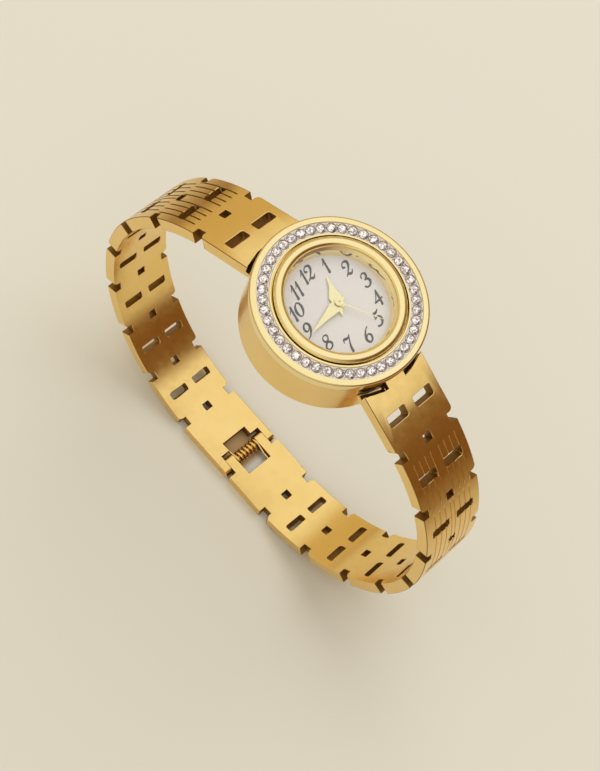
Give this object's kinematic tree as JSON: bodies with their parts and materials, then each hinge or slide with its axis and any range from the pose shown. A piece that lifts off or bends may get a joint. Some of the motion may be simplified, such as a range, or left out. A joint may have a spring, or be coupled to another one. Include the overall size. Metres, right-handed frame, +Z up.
{
  "type": "bangle watch",
  "caption": "Ladies' analogue watch with a round stone-set bezel on a rigid two-half bangle cut to look like links, which opens on a sprung hinge at the back.",
  "frame": {"origin": "the middle of the flat on which the bangle's back rests, under the hinge pin", "axes": "+X to 6 o'clock along the bangle's greatest width, +Y to 3 o'clock and the crown, +Z up through the dial"},
  "size_m": [0.0644, 0.0242, 0.059],
  "materials": {
    "gold_plate": "polished yellow gold plate",
    "steel": "polished steel",
    "wheel_brass": "satin brass",
    "rubber": "matte",
    "rhodium_plate": "polished white plate",
    "clear_stone": "faceted clear stones",
    "mineral_glass": "clear and polished",
    "white_plastic": "matte",
    "dial_paint": "silvery satin paint",
    "board_plastic": "matte green board",
    "copper_wire": "enamelled copper wire",
    "magnet": "dark magnet"
  },
  "bodies": {
    "case": {"left_arm": "gold_plate", "hinge_pin": "steel", "hinge_spring": "steel", "arm_fixing_pin": "steel", "case_middle": "gold_plate", "bezel": "gold_plate", "stone_setting": "rhodium_plate", "bezel_stones": "clear_stone", "glass_ring": "gold_plate", "glass": "mineral_glass", "glass_gasket": "white_plastic", "dial_ring": "gold_plate", "dial": "dial_paint", "crown_tube": "steel", "case_back": "steel", "case_back_gasket": "rubber", "movement_holder": "white_plastic", "main_plate": "wheel_brass", "train_bridge": "wheel_brass", "bridge_screws": "steel", "stator": "steel", "coil": "copper_wire", "coil_core": "steel", "battery": "steel", "battery_strap": "steel", "circuit_board": "board_plastic", "quartz_can": "steel"},
    "right_arm": {"right_arm": "gold_plate"},
    "stem_slide": {"crown_gasket": "rubber", "setting_lever": "steel"},
    "crown_turn": {"crown": "gold_plate", "winding_stem": "steel"},
    "seconds": {"second_wheel": "wheel_brass", "second_hand": "gold_plate"},
    "third": {"third_wheel": "wheel_brass"},
    "minutes": {"centre_wheel": "wheel_brass", "minute_hand": "gold_plate"},
    "motion_work": {"minute_wheel": "wheel_brass"},
    "hours": {"hour_wheel": "wheel_brass", "hour_hand": "gold_plate"},
    "intermediate": {"intermediate_wheel": "wheel_brass"},
    "rotor_body": {"rotor": "magnet"}
  },
  "joints": [
    {"name": "arm_open", "type": "hinge", "parent": "case", "child": "right_arm", "pos_m": [0, 0, 0.00105], "axis": [0, 1, 0], "range_deg": [0, 50], "stiffness_Nm_per_rad": 0.03, "springref_deg": -57.3, "deforming": ["hinge_spring"]},
    {"name": "crown_pull", "type": "slide", "parent": "case", "child": "stem_slide", "axis": [0, 1, 0], "range_m": [0, 0.0007]},
    {"name": "crown_turn", "type": "hinge", "parent": "stem_slide", "child": "crown_turn", "pos_m": [0, 0.012, 0.05379], "axis": [0, 1, 0], "continuous": true},
    {"name": "second_spin", "type": "hinge", "parent": "case", "child": "seconds", "pos_m": [0, 0, 0.0546], "axis": [0, 0, -1], "continuous": true},
    {"name": "third_spin", "type": "hinge", "parent": "case", "child": "third", "pos_m": [-0.00035, -0.00201, 0.0546], "axis": [0, 0, -1], "continuous": true},
    {"name": "minute_spin", "type": "hinge", "parent": "case", "child": "minutes", "pos_m": [0, 0, 0.0546], "axis": [0, 0, -1], "continuous": true},
    {"name": "motion_spin", "type": "hinge", "parent": "case", "child": "motion_work", "pos_m": [0.001, 0.00173, 0.0546], "axis": [0, 0, -1], "continuous": true},
    {"name": "hour_spin", "type": "hinge", "parent": "case", "child": "hours", "pos_m": [0, 0, 0.0546], "axis": [0, 0, -1], "continuous": true},
    {"name": "intermediate_spin", "type": "hinge", "parent": "case", "child": "intermediate", "pos_m": [-0.00182, 0.00105, 0.0546], "axis": [0, 0, -1], "continuous": true},
    {"name": "rotor_spin", "type": "hinge", "parent": "case", "child": "rotor_body", "pos_m": [-0.00238, -0.0005, 0.0546], "axis": [0, 0, -1], "continuous": true}
  ],
  "couplings": [
    {"joint": "third_spin", "follows": "second_spin", "ratio": -0.13333},
    {"joint": "minute_spin", "follows": "second_spin", "ratio": 0.016667},
    {"joint": "motion_spin", "follows": "second_spin", "ratio": -0.0055556},
    {"joint": "hour_spin", "follows": "second_spin", "ratio": 0.0013889},
    {"joint": "intermediate_spin", "follows": "second_spin", "ratio": -3},
    {"joint": "rotor_spin", "follows": "second_spin", "ratio": 30}
  ]
}
